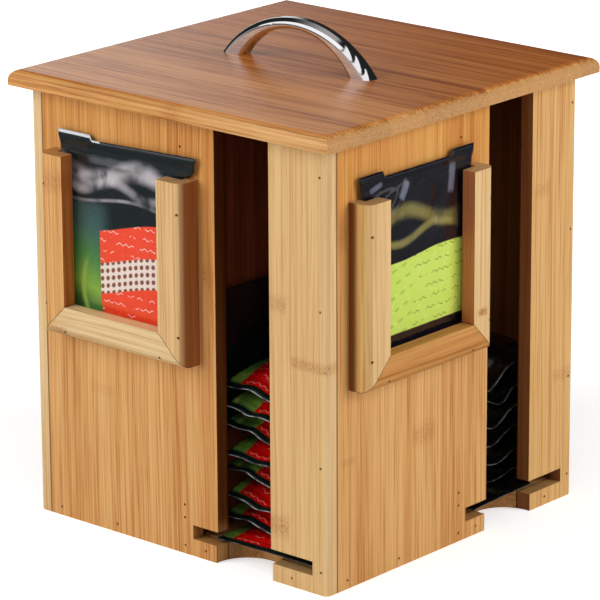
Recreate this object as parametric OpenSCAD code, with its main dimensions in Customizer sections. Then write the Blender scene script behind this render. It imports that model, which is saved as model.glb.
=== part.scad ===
/* [Body] */
// Width and depth of the square body
body_w = 172; // [168:1:200]
// Height of the side panels
body_h = 199; // [195:0.5:240]
// Thickness of the side panels
panel_t = 7; // [5:0.5:8]
// Thickness of the base
base_t = 8; // [6:0.5:11]
// Rounding of the upright outer corners
corner_r = 2.5; // [1:0.5:4.5]

/* [Access slots] */
// Width of the tall slot in each side
slot_w = 31; // [27:0.5:35]
// Width of the narrow panel beside each slot
narrow_w = 32; // [26:0.5:35]
// Height of the dispensing gap above the base
gap_h = 6.5; // [5.5:0.5:9]
// Wood left between the gap's ends and the compartment's walls
gap_inset = 1.3; // [1:0.1:3]
// How much wider than the slot the finger notch is, on each side
notch_over = 1; // [0.5:0.5:3]
// How far inside the face the centre of the finger notch lies
notch_in = 1.3; // [0:0.1:4]

/* [Dividers] */
// Thickness of the dividing boards
divider_t = 7; // [4:0.5:9]
// How far the dividing boards stop below the rim
divider_drop = 4; // [3.5:0.5:8]

/* [Display pockets] */
// Width of the pocket over its mouldings
pocket_w = 85; // [78:1:90]
// Height of the pocket over its mouldings
pocket_h = 83; // [70:1:95]
// Height of the pocket's underside
pocket_z = 90; // [60:1:100]
// Distance from the pocket to the left edge of its panel
pocket_margin = 7.6; // [3:0.2:11]
// Width of the moulding's face
moulding_w = 14.2; // [12:0.2:18]
// Depth of the moulding
moulding_t = 11.2; // [9:0.2:14]
// Rounding of the moulding's outer front edge
moulding_r = 5; // [3:0.5:6.5]
// Depth of the rebate that takes a sachet
rebate_d = 4.4; // [4.2:0.1:6]
// Wood left outside the rebate
rebate_wall = 5.5; // [4:0.5:7]

/* [Lid] */
// How far the lid reaches past each side
lid_over = 7; // [4:0.2:12]
// Thickness of the lid board
lid_t = 7; // [6:0.5:10]
// Rounding of the lid's upper edge
lid_edge_r = 4.5; // [2:0.5:5]
// Width of the locating blocks under the lid
block_w = 12; // [8:1:16]
// Height of the locating blocks
block_h = 6; // [4:0.5:10]
// Clearance from the locating blocks to the walls
block_clear = 0.6; // [0.4:0.1:1.5]

/* [Handle] */
// Length of the bow handle
handle_l = 87; // [80:1:120]
// How far the handle sits in front of the lid's middle
handle_off = 4; // [0:0.5:8]
// Height of the bow above the lid
handle_rise = 21.3; // [18:0.5:30]
// Distance from each end of the bow to its screw
screw_in = 5.5; // [5:0.5:7]
// Thickness of the bow at its crown
crown_t = 4.8; // [4.6:0.1:6]
// Length of each foot on the lid
foot_l = 12; // [10.5:0.5:14]
// Width of the bow
bow_w = 8; // [7:0.5:12]
// Rounding of the bow's upper edges
bow_r = 3; // [1:0.1:3.4]
// Rounding of the bow's lower edges
under_r = 1.6; // [0.6:0.1:1.6]

/* [Fasteners] */
// Diameter of the brads
brad_d = 1; // [0.8:0.1:1.6]
// Length of the brads in the body
brad_len = 16; // [12:1:16]
// How deep the brads are sunk
brad_sink = 0.4; // [0.3:0.1:1.2]
// Wood left beyond the point of a brad
brad_end = 1.5; // [1:0.1:2]
// Height of the lowest brads above what they stand over
brad_rise = 2.5; // [2:0.5:5]
// Distance between the paired brads low on each dividing board
brad_pair = 6; // [4:0.5:10]
// Distance from the rim to the top brads
top_brad_in = 13; // [8:1:20]
// Distance from a compartment's corner to the first brad in the base
end_brad_in = 6.5; // [5:0.5:12]
// Distance from the ends of a moulding to its brads
stile_brad_in = 14; // [8:1:24]
// Clearance round a brad or a screw
hole_clear = 0.1; // [0.05:0.05:0.2]
// Diameter of the handle's screws
screw_d = 4; // [3:0.5:4]
// Diameter of the screw heads
screw_head_d = 7.5; // [6:0.5:9]
// Height of the screw heads
screw_head_h = 2.4; // [1.8:0.2:2.8]
// Length of thread in the handle's foot
thread_l = 3.2; // [2.4:0.2:3.4]

/* [Sachets] */
// Room beside a stack, in the compartment's width
stack_room = 1.4; // [1.2:0.1:4]
// Room before and behind a stack, in the compartment's length
stack_end_room = 3.5; // [2.5:0.5:8]
// Gap between the sachets in a stack
stack_gap = 0.8; // [0.6:0.1:1.2]
// Thickness of a filled sachet
sachet_puff = 9.6; // [7:0.2:11]
// Thickness of the sachet that lies ready in the gap
ready_puff = 4.8; // [4:0.2:5]
// Room beside the ready sachet in the gap
ready_room = 2.2; // [1:0.2:5]
// How far the ready sachet reaches into the gap
ready_reach = 4; // [1:0.5:6]
// Thickness of the sachet that stands beside the front stack
stand_puff = 3; // [2:0.2:4]
// Height to which that sachet stands
stand_top = 118; // [85:1:150]
// Height of a display sachet
card_h = 87; // [80:1:90]
// Thickness of a display sachet
card_puff = 3.2; // [2.4:0.1:3.4]
// Clearance beside a sachet
sachet_clear = 0.4; // [0.3:0.1:1]
// Sachets stacked behind the front slot
front_count = 7; // [1:1:8]
// Sachets stacked behind the right slot
right_count = 6; // [1:1:8]

/* [Hidden] */
$fn = 64;

bamboo = "#d9a866";
bamboo_pale = "#e0b67c";
bamboo_inner = "#b98850";
bamboo_lid = "#c08a55";
brad_steel = "#6b5a48";
bright_metal = "#c9ccd0";
foil_green = "#1d3a2a";
foil_black = "#15161a";

// The four sides are the front one turned about the upright axis
FRONT = 0;
RIGHT = 1;
BACK = 2;
LEFT = 3;

half_w = body_w / 2;
inner = half_w - panel_t;
slot_right = half_w - narrow_w;
slot_left = slot_right - slot_w;
slot_mid = (slot_left + slot_right) / 2;
wide_w = slot_left + inner;
gap_left = divider_t + gap_inset;
gap_right = inner - gap_inset;
gap_top = base_t + gap_h;
notch_r = slot_w / 2 + notch_over;
overcut = 1;
seat_gap = 0.3;

pocket_x = pocket_margin - inner;
pocket_mid = pocket_x + pocket_w / 2;

hole_d = brad_d + 2 * hole_clear;
corner_brad_x = half_w - panel_t / 2;
top_brad_z = body_h - top_brad_in;
base_brad_x = [
    end_brad_in - inner,
    (divider_t / 2 - inner) / 2,
    divider_t / 2,
    (gap_left + slot_left) / 2,
    (slot_right + gap_right) / 2
];
divider_brad_z = [gap_top + brad_rise, gap_top + brad_rise + brad_pair, top_brad_z];
corner_brad_share = [0.29, 0.64];
corner_brad_z = concat(
    [base_t + brad_rise, top_brad_z],
    [for (share = corner_brad_share) share * body_h]
);

// Brads in a pocket, as [x, z] on the side panel
stile_brad_z = [pocket_z + stile_brad_in, pocket_z + pocket_h - stile_brad_in];
rail_brad_off = pocket_w / 2 - stile_brad_in;
pocket_brad_xz = [
    for (x = [pocket_x + rebate_wall / 2, pocket_x + pocket_w - rebate_wall / 2])
        for (z = stile_brad_z) [x, z],
    for (side = [-1, 1]) [pocket_mid + side * rail_brad_off, pocket_z + rebate_wall / 2]
];
pocket_brad_out = moulding_t - brad_sink;
pocket_brad_in = panel_t - brad_end;
screw_x = handle_l / 2 - screw_in;
recess_l = 0.6 * screw_head_d;
recess_w = 0.12 * screw_head_d;

lid_top = body_h + lid_t;
bow_r_out = (pow(handle_l / 2, 2) + pow(handle_rise, 2)) / (2 * handle_rise);
bow_z_out = lid_top + handle_rise - bow_r_out;
finger_l = handle_l - 2 * foot_l;
finger_rise = handle_rise - crown_t;
bow_r_in = (pow(finger_l / 2, 2) + pow(finger_rise, 2)) / (2 * finger_rise);
bow_z_in = lid_top + finger_rise - bow_r_in;

card_w = pocket_w - 2 * (rebate_wall + sachet_clear);
foil_t = 0.6;
cell_mid = (divider_t + inner) / 2;
stand_x = divider_t + seat_gap + stand_puff / 2;
stack_left = stand_x + stand_puff / 2 + 2 * stack_room;
sachet_w = inner - stack_room - stack_left;
sachet_l = inner - 2 * stack_end_room;
stack_x = stack_left + sachet_w / 2;
stack_y = -inner / 2;
ready_top = base_t + seat_gap + ready_puff;
stack_step = sachet_puff + stack_gap;
stack_z = ready_top + stack_gap + sachet_puff / 2;
front_lean = 6;
right_lean = -3;
stack_tip = 2;
stack_twist = 0.8;

module on_side(side) {
    rotate([0, 0, 90 * side]) children();
}

// A hole or a brad that runs inwards from the front face
module inward(x, z, start, len, d) {
    translate([x, -half_w + start, z])
        rotate([-90, 0, 0]) cylinder(d = d, h = len);
}

module base_brads(start, len, d) {
    for (x = base_brad_x) inward(x, base_t / 2, start, len, d);
}

module divider_brads(start, len, d) {
    for (z = divider_brad_z) inward(divider_t / 2, z, start, len, d);
}

module corner_brads(start, len, d) {
    for (z = corner_brad_z) inward(corner_brad_x, z, start, len, d);
}

module moulding_brads(start, len, d) {
    for (p = pocket_brad_xz) inward(p[0], p[1], start, len, d);
}

module base_brad_holes() {
    base_brads(-overcut, overcut + brad_sink + brad_len + hole_clear, hole_d);
}

module divider_brad_holes() {
    divider_brads(-overcut, overcut + brad_sink + brad_len + hole_clear, hole_d);
}

module corner_brad_holes() {
    corner_brads(-overcut, overcut + brad_sink + brad_len + hole_clear, hole_d);
}

module moulding_brad_holes() {
    moulding_brads(-moulding_t - overcut, moulding_t + overcut + pocket_brad_in + hole_clear, hole_d);
}

module finger_notch() {
    translate([slot_mid, notch_in - half_w, -overcut])
        cylinder(r = notch_r, h = base_t + 2 * overcut);
}

module dispensing_gap() {
    translate([gap_left, -half_w - overcut, base_t])
        cube([gap_right - gap_left, panel_t + 2 * overcut, gap_h]);
}

module base_plate() {
    color(bamboo) difference() {
        translate([-inner, -inner, 0]) cube([2 * inner, 2 * inner, base_t]);
        for (side = [FRONT:LEFT]) on_side(side) {
            finger_notch();
            base_brad_holes();
        }
    }
}

module wide_panel() {
    color(bamboo) difference() {
        translate([-inner, -half_w, 0]) cube([wide_w, panel_t, body_h]);
        dispensing_gap();
        finger_notch();
        base_brad_holes();
        divider_brad_holes();
        moulding_brad_holes();
        on_side(LEFT) corner_brad_holes();
    }
}

module narrow_outline() {
    square([narrow_w - corner_r, panel_t]);
    translate([0, corner_r]) square([narrow_w, panel_t - corner_r]);
    translate([narrow_w - corner_r, corner_r]) circle(r = corner_r);
}

module narrow_panel() {
    color(bamboo_pale) difference() {
        translate([slot_right, -half_w, 0])
            linear_extrude(height = body_h) narrow_outline();
        dispensing_gap();
        finger_notch();
        base_brad_holes();
        corner_brad_holes();
    }
}

module divider() {
    color(bamboo_inner) difference() {
        translate([0, -inner, base_t])
            cube([divider_t, inner, body_h - divider_drop - base_t]);
        divider_brad_holes();
    }
}

// Section of the moulding: x runs inwards from its outer edge, y out from the panel
module moulding_section() {
    difference() {
        union() {
            square([moulding_w, moulding_t - moulding_r]);
            translate([moulding_r, 0]) square([moulding_w - moulding_r, moulding_t]);
            translate([moulding_r, moulding_t - moulding_r]) circle(r = moulding_r);
        }
        translate([rebate_wall, -overcut]) square([moulding_w, rebate_d + overcut]);
        translate([0, -moulding_t]) square([moulding_w, moulding_t]);
    }
}

module stile_blank() {
    linear_extrude(height = pocket_h) mirror([0, 1]) moulding_section();
}

module rail_blank() {
    rotate([90, 0, 90]) linear_extrude(height = pocket_w) rotate(90) moulding_section();
}

// A flat outline on the side panel, made as thick as the mouldings
module through_mouldings() {
    rotate([90, 0, 0]) translate([0, 0, -overcut])
        linear_extrude(height = moulding_t + 2 * overcut) children();
}

module pocket_stile() {
    color(bamboo_pale) difference() {
        translate([pocket_x, -half_w, pocket_z]) intersection() {
            stile_blank();
            through_mouldings() polygon([
                [0, 0], [moulding_w, moulding_w], [moulding_w, pocket_h], [0, pocket_h]
            ]);
        }
        moulding_brad_holes();
    }
}

module pocket_left_stile() {
    pocket_stile();
}

module pocket_right_stile() {
    translate([2 * pocket_mid, 0, 0]) mirror([1, 0, 0]) pocket_stile();
}

module pocket_rail() {
    color(bamboo_pale) difference() {
        translate([pocket_x, -half_w, pocket_z]) intersection() {
            rail_blank();
            through_mouldings() polygon([
                [0, 0], [pocket_w, 0], [pocket_w - moulding_w, moulding_w], [moulding_w, moulding_w]
            ]);
        }
        moulding_brad_holes();
    }
}

module body_brads() {
    color(brad_steel) for (side = [FRONT:LEFT]) on_side(side) {
        base_brads(brad_sink, brad_len, brad_d);
        divider_brads(brad_sink, brad_len, brad_d);
        corner_brads(brad_sink, brad_len, brad_d);
    }
}

module pocket_brads() {
    color(brad_steel) for (side = [FRONT:LEFT]) on_side(side)
        moulding_brads(-pocket_brad_out, pocket_brad_out + pocket_brad_in, brad_d);
}

// Section of the lid, with its two upper edges rounded
module lid_section(w) {
    intersection() {
        square([w, lid_t]);
        union() {
            square([w, lid_t - lid_edge_r]);
            translate([lid_edge_r, 0]) square([w - 2 * lid_edge_r, lid_t]);
            for (x = [lid_edge_r, w - lid_edge_r])
                translate([x, lid_t - lid_edge_r]) circle(r = lid_edge_r);
        }
    }
}

module lid_bar() {
    lid_w = body_w + 2 * lid_over;
    translate([-lid_w / 2, lid_w / 2, body_h])
        rotate([90, 0, 0]) linear_extrude(height = lid_w) lid_section(lid_w);
}

module lid_board() {
    color(bamboo_lid) difference() {
        intersection() {
            lid_bar();
            rotate([0, 0, 90]) lid_bar();
        }
        for (x = [-screw_x, screw_x])
            translate([x, -handle_off, body_h - overcut])
                cylinder(d = screw_d + 4 * hole_clear, h = lid_t + 2 * overcut);
        for (side = [FRONT:LEFT]) on_side(side) block_brad(hole_d, hole_clear);
    }
}

// A brad up through a locating block into the lid
module block_brad(d, extra) {
    at = inner - block_clear - block_w / 2;
    translate([at, -at, body_h - block_h + brad_sink])
        cylinder(d = d, h = block_h - brad_sink + lid_t - brad_end + extra);
}

module lid_block() {
    color(bamboo_pale) difference() {
        translate([inner - block_clear - block_w, block_clear - inner, body_h - block_h])
            cube([block_w, block_w, block_h]);
        block_brad(hole_d, hole_clear);
        translate([0, 0, -overcut]) block_brad(hole_d, 0);
    }
}

module lid_block_brads() {
    color(brad_steel) for (side = [FRONT:LEFT]) on_side(side) block_brad(brad_d, 0);
}

// Section of the bow: x runs out from the centre of the arch
module bow_section() {
    depth = foot_l + bow_r;
    translate([bow_r_out - depth, -bow_w / 2]) {
        square([depth - bow_r, bow_w]);
        translate([0, bow_r]) square([depth, bow_w - 2 * bow_r]);
        for (y = [bow_r, bow_w - bow_r])
            translate([depth - bow_r, y]) circle(r = bow_r);
    }
}

// Section of the finger room under the bow, which rounds the bow's lower edges
module finger_section() {
    difference() {
        translate([0, -bow_w / 2 - overcut])
            square([bow_r_in + under_r, bow_w + 2 * overcut]);
        translate([bow_r_in, under_r - bow_w / 2])
            square([2 * under_r, bow_w - 2 * under_r]);
        for (side = [-1, 1])
            translate([bow_r_in + under_r, side * (bow_w / 2 - under_r)]) circle(r = under_r);
    }
}

module handle() {
    color(bright_metal) translate([0, -handle_off, 0]) difference() {
        intersection() {
            translate([0, 0, bow_z_out])
                rotate([90, 0, 0]) rotate_extrude($fn = 180) bow_section();
            translate([-handle_l / 2, -bow_w / 2, lid_top])
                cube([handle_l, bow_w, handle_rise + overcut]);
        }
        translate([0, 0, bow_z_in])
            rotate([90, 0, 0]) rotate_extrude($fn = 180) finger_section();
        for (x = [-screw_x, screw_x])
            translate([x, 0, lid_top - overcut])
                cylinder(d = screw_d + 2 * hole_clear, h = thread_l + overcut + hole_clear);
    }
}

module handle_screw() {
    difference() {
        union() {
            translate([0, 0, body_h - screw_head_h]) cylinder(d = screw_head_d, h = screw_head_h);
            translate([0, 0, body_h]) cylinder(d = screw_d, h = lid_t + thread_l);
        }
        translate([0, 0, body_h - screw_head_h])
            for (turn = [0, 90]) rotate(turn)
                cube([recess_l, recess_w, screw_head_h], center = true);
    }
}

module handle_screws() {
    color(bright_metal) for (x = [-screw_x, screw_x])
        translate([x, -handle_off, 0]) handle_screw();
}

// A filled foil sachet: flat crimped edges round a crowned middle
module pillow(w, l, puff) {
    n = 6;
    row = n + 1;
    layer = row * row;
    crimp = 0.87;
    at = [for (i = [0:n]) sin(180 * i / n - 90)];
    fill = [for (s = at) max(0, 1 - pow(s / crimp, 2))];
    half = [for (fy = fill) [for (fx = fill) foil_t / 2 + (puff - foil_t) / 2 * sqrt(fx * fy)]];
    upper = [for (j = [0:n]) for (i = [0:n]) [w / 2 * at[i], l / 2 * at[j], half[j][i]]];
    lower = [for (p = upper) [p[0], p[1], -p[2]]];
    cells = [for (j = [0:n - 1]) for (i = [0:n - 1]) j * row + i];
    top_faces = [for (a = cells) each [[a, a + row, a + row + 1], [a, a + row + 1, a + 1]]];
    low_faces = [for (f = top_faces) [layer + f[0], layer + f[2], layer + f[1]]];
    rim = concat(
        [for (i = [0:n - 1]) [i, i + 1]],
        [for (j = [0:n - 1]) [j * row + n, j * row + row + n]],
        [for (i = [n:-1:1]) [n * row + i, n * row + i - 1]],
        [for (j = [n:-1:1]) [j * row, j * row - row]]
    );
    rim_faces = [for (e = rim) each [[e[0], e[1], layer + e[1]], [e[0], layer + e[1], layer + e[0]]]];
    polyhedron(concat(upper, lower), concat(top_faces, low_faces, rim_faces));
}

module display_sachet() {
    translate([pocket_mid, -half_w - rebate_d / 2, pocket_z + rebate_wall + seat_gap + card_h / 2])
        rotate([90, 0, 0]) pillow(card_w, card_h, card_puff);
}

module ready_sachet() {
    ready_w = gap_right - gap_left - 2 * ready_room;
    translate([cell_mid, sachet_l / 2 - inner - ready_reach, ready_top - ready_puff / 2])
        pillow(ready_w, sachet_l, ready_puff);
}

module sachet_stack(count, lean) {
    for (k = [0:count - 1])
        translate([stack_x, stack_y, stack_z + k * stack_step])
            rotate([stack_tip, lean, k % 2 == 0 ? stack_twist : -stack_twist])
                pillow(sachet_w, sachet_l, sachet_puff);
}

module display_sachet_front() {
    color(foil_green) display_sachet();
}

module display_sachet_right() {
    color(foil_black) display_sachet();
}

module ready_sachet_front() {
    color(foil_green) ready_sachet();
}

module ready_sachet_right() {
    color(foil_black) ready_sachet();
}

module sachet_stack_front() {
    color(foil_green) sachet_stack(front_count, front_lean);
}

module sachet_stack_right() {
    color(foil_black) sachet_stack(right_count, right_lean);
}

// A sachet that stands between the stack and the dividing board
module leaning_sachet() {
    color(foil_green) translate([stand_x, stack_y, stand_top - sachet_w / 2])
        rotate([0, 90, 0]) pillow(sachet_w, sachet_l, stand_puff);
}

base_plate();
on_side(FRONT) wide_panel();  // wide_panel_front
on_side(RIGHT) wide_panel();  // wide_panel_right
on_side(BACK) wide_panel();  // wide_panel_back
on_side(LEFT) wide_panel();  // wide_panel_left
on_side(FRONT) narrow_panel();  // narrow_panel_front
on_side(RIGHT) narrow_panel();  // narrow_panel_right
on_side(BACK) narrow_panel();  // narrow_panel_back
on_side(LEFT) narrow_panel();  // narrow_panel_left
on_side(FRONT) divider();  // divider_front
on_side(RIGHT) divider();  // divider_right
on_side(BACK) divider();  // divider_back
on_side(LEFT) divider();  // divider_left
on_side(FRONT) pocket_left_stile();  // pocket_left_stile_front
on_side(FRONT) pocket_right_stile();  // pocket_right_stile_front
on_side(FRONT) pocket_rail();  // pocket_rail_front
on_side(RIGHT) pocket_left_stile();  // pocket_left_stile_right
on_side(RIGHT) pocket_right_stile();  // pocket_right_stile_right
on_side(RIGHT) pocket_rail();  // pocket_rail_right
on_side(BACK) pocket_left_stile();  // pocket_left_stile_back
on_side(BACK) pocket_right_stile();  // pocket_right_stile_back
on_side(BACK) pocket_rail();  // pocket_rail_back
on_side(LEFT) pocket_left_stile();  // pocket_left_stile_left
on_side(LEFT) pocket_right_stile();  // pocket_right_stile_left
on_side(LEFT) pocket_rail();  // pocket_rail_left
body_brads();
pocket_brads();
lid_board();
on_side(FRONT) lid_block();  // lid_block_front
on_side(RIGHT) lid_block();  // lid_block_right
on_side(BACK) lid_block();  // lid_block_back
on_side(LEFT) lid_block();  // lid_block_left
lid_block_brads();
handle();
handle_screws();
on_side(FRONT) display_sachet_front();
on_side(RIGHT) display_sachet_right();
on_side(FRONT) ready_sachet_front();
on_side(RIGHT) ready_sachet_right();
on_side(FRONT) sachet_stack_front();
on_side(RIGHT) sachet_stack_right();
on_side(FRONT) leaning_sachet();  // leaning_sachet_front
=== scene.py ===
import bpy
import math
from mathutils import Matrix, Vector, noise


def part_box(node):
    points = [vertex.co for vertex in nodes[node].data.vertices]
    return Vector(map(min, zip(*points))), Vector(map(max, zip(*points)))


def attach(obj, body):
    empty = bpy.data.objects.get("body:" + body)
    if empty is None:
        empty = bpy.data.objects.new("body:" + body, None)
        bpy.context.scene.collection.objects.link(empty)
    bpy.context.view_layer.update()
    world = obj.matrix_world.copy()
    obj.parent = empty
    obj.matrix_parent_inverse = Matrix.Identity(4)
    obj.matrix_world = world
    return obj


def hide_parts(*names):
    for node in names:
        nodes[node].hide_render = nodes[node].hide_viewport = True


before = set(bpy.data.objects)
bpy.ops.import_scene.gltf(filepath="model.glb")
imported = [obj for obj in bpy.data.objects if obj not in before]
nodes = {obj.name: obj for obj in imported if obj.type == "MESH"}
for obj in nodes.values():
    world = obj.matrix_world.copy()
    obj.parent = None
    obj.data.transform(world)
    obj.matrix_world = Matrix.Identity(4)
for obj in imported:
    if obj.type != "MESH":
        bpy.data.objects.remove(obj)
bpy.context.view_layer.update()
scene = bpy.context.scene
MM = 0.001

# Camera: at the photograph's place, with its lens and slight roll
CAMERA_AT = Vector((1.11722, -1.28319, 0.62166))
CAMERA_TO = Vector((-0.00213, -0.00186, 0.09622))
CAMERA_ROLL = math.radians(-0.304)
LENS_MM = 236.91
SENSOR_MM = 36
CLIP_NEAR, CLIP_FAR = 0.05, 50


def place_camera():
    back = (CAMERA_AT - CAMERA_TO).normalized()
    level = Vector((0, 0, 1)).cross(back).normalized()
    upward = back.cross(level)
    side = level * math.cos(CAMERA_ROLL) + upward * math.sin(CAMERA_ROLL)
    top = upward * math.cos(CAMERA_ROLL) - level * math.sin(CAMERA_ROLL)
    data = bpy.data.cameras.new("camera")
    data.lens = LENS_MM
    data.sensor_width = SENSOR_MM
    data.clip_start = CLIP_NEAR
    data.clip_end = CLIP_FAR
    camera = bpy.data.objects.new("camera", data)
    camera.matrix_world = Matrix((
        (side.x, top.x, back.x, CAMERA_AT.x),
        (side.y, top.y, back.y, CAMERA_AT.y),
        (side.z, top.z, back.z, CAMERA_AT.z),
        (0, 0, 0, 1)))
    scene.collection.objects.link(camera)
    scene.camera = camera


place_camera()


def srgb(r, g, b):
    """A colour given as 0-255 screen values, as linear light."""
    def one(v):
        v = v / 255
        return v / 12.92 if v <= 0.04045 else ((v + 0.055) / 1.055) ** 2.4
    return (one(r), one(g), one(b), 1)


class Nodes:
    """Short calls for building one node tree."""

    def __init__(self, tree):
        self.tree = tree
        tree.nodes.clear()

    def add(self, kind, **props):
        node = self.tree.nodes.new(kind)
        for key, value in props.items():
            setattr(node, key, value)
        return node

    def link(self, a, b):
        self.tree.links.new(a, b)

    def put(self, socket, value):
        if isinstance(value, bpy.types.NodeSocket):
            self.link(value, socket)
        else:
            socket.default_value = value

    def math(self, op, a, b=0.0, clamp=False):
        node = self.add("ShaderNodeMath", operation=op, use_clamp=clamp)
        for socket, value in zip(node.inputs, (a, b)):
            self.put(socket, value)
        return node.outputs[0]

    def plus(self, a, b):
        return self.math("ADD", a, b)

    def minus(self, a, b):
        return self.math("SUBTRACT", a, b)

    def times(self, a, b):
        return self.math("MULTIPLY", a, b)

    def over(self, a, b):
        return self.math("DIVIDE", a, b)

    def power(self, a, b):
        return self.math("POWER", a, b)

    def larger(self, a, b):
        return self.math("MAXIMUM", a, b)

    def sine(self, a):
        return self.math("SINE", a)

    def fraction(self, a):
        return self.math("FRACT", a)

    def away(self, a, b):
        """How far a is from b."""
        return self.math("ABSOLUTE", self.minus(a, b))

    def vec(self, x, y, z):
        node = self.add("ShaderNodeCombineXYZ")
        for socket, value in zip(node.inputs, (x, y, z)):
            self.put(socket, value)
        return node.outputs[0]

    def split(self, v):
        node = self.add("ShaderNodeSeparateXYZ")
        self.link(v, node.inputs[0])
        return node.outputs

    def noise(self, v, scale=1.0, detail=2.0, rough=0.5, distort=0.0):
        node = self.add("ShaderNodeTexNoise")
        self.link(v, node.inputs["Vector"])
        node.inputs["Scale"].default_value = scale
        node.inputs["Detail"].default_value = detail
        node.inputs["Roughness"].default_value = rough
        node.inputs["Distortion"].default_value = distort
        return node.outputs["Fac"]

    def ramp(self, fac, stops):
        node = self.add("ShaderNodeValToRGB")
        items = node.color_ramp.elements
        while len(items) < len(stops):
            items.new(0.5)
        for item, (at, colour) in zip(items, stops):
            item.position = at
            item.color = colour
        self.link(fac, node.inputs[0])
        return node.outputs[0]

    def step(self, x, lo, hi):
        """0 below lo and 1 above hi, smooth between; falls instead where hi is below lo."""
        node = self.add("ShaderNodeMapRange", interpolation_type="SMOOTHSTEP")
        self.put(node.inputs["Value"], x)
        if lo < hi:
            ends = (lo, hi, 0.0, 1.0)
        else:
            ends = (hi, lo, 1.0, 0.0)
        for key, value in zip(("From Min", "From Max", "To Min", "To Max"), ends):
            node.inputs[key].default_value = value
        return node.outputs["Result"]

    def mix(self, fac, a, b, blend="MIX"):
        node = self.add("ShaderNodeMix", data_type="RGBA", blend_type=blend)
        self.put(node.inputs["Factor"], fac)
        self.put(node.inputs[6], a)
        self.put(node.inputs[7], b)
        return node.outputs[2]


class Shader(Nodes):
    """The node tree of a new material, with its Principled shader."""

    def __init__(self, name):
        self.mat = bpy.data.materials.new(name)
        self.mat.use_nodes = True
        super().__init__(self.mat.node_tree)
        self.out = self.add("ShaderNodeOutputMaterial")
        self.bsdf = self.add("ShaderNodeBsdfPrincipled")
        self.link(self.bsdf.outputs[0], self.out.inputs[0])

    def bump(self, height, distance, strength):
        node = self.add("ShaderNodeBump")
        node.inputs["Strength"].default_value = strength
        node.inputs["Distance"].default_value = distance
        self.link(height, node.inputs["Height"])
        self.link(node.outputs[0], self.bsdf.inputs["Normal"])


# Bamboo. Noise along the fibres is (turns per mm across, turns per mm along, detail, roughness),
# and each share is how much one of them, or the strip that a point is in, changes the colour
FINE, FINE_SHARE = (0.85, 0.010, 4, 0.62), 1.7
BROAD, BROAD_SHARE = (0.20, 0.0035, 2, 0.55), 0.85
HAIR, HAIR_SHARE = (1.9, 0.02, 2, 0.5), 0.30
VEIN = (0.62, 0.006, 3, 0.6)
STRIP_SHARE = 0.34
WANDER_MM = 5.0
STRIP_JUMP_MM = 60.0
GLUE_SHARE = 0.32
LINE_FAINT, LINE_FULL = 0.5, 0.12
NODE_BROWN = srgb(166, 102, 54)
SEAM_BROWN = srgb(66, 34, 14)
AXES = "XYZ"


def scaled(colour, r, g, b):
    return (colour[0] * r, colour[1] * g, colour[2] * b, 1)


def node_marks(s, colour, wide, deep, along, spots):
    """Specks and a slight haze in a short band across one strip."""
    speck = s.noise(s.vec(s.times(wide, 1.3), s.times(deep, 1.3), s.times(along, 0.7)), 1, 4, 0.7)
    for at, up, half_a, half_g, strength in spots:
        across = s.step(s.away(wide, at), half_a + 0.8, half_a - 0.8)
        band = s.times(across, s.step(s.away(along, up), half_g, half_g * 0.1))
        marks = s.times(band, s.times(s.step(speck, 0.47, 0.68), 0.8))
        haze = s.times(band, 0.30)
        both = s.math("ADD", marks, haze, clamp=True)
        colour = s.mix(s.times(both, strength), colour, NODE_BROWN)
    return colour


def end_grain(s, colour, place, facing, chance, light, tint):
    """Stippled and a little browner, on the faces that cut the fibres."""
    dots = s.noise(place, 1.5, 3, 0.75)
    stipple = s.mix(s.step(dots, 0.35, 0.68), scaled(tint, 0.66, 0.6, 0.55), tint)
    stipple = s.mix(s.times(s.minus(chance, 0.2), 0.35), stipple, light)
    return s.mix(s.step(s.math("ABSOLUTE", facing), 0.55, 0.9), colour, stipple)


def painted(s, colour, xyz, normal, paints):
    """Multiplies the colour where all the conditions of a paint hold."""
    for conditions, multiplier in paints:
        fac = 1.0
        for kind, axis, sign, lo, hi in conditions:
            part = (normal if kind == "n" else xyz)[AXES.index(axis)]
            part = s.math("ABSOLUTE", part) if sign == 0 else s.times(part, float(sign))
            fac = s.times(fac, s.step(part, lo, hi))
        colour = s.mix(fac, colour, tuple(multiplier) + (1,), blend="MULTIPLY")
    return colour


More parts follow.
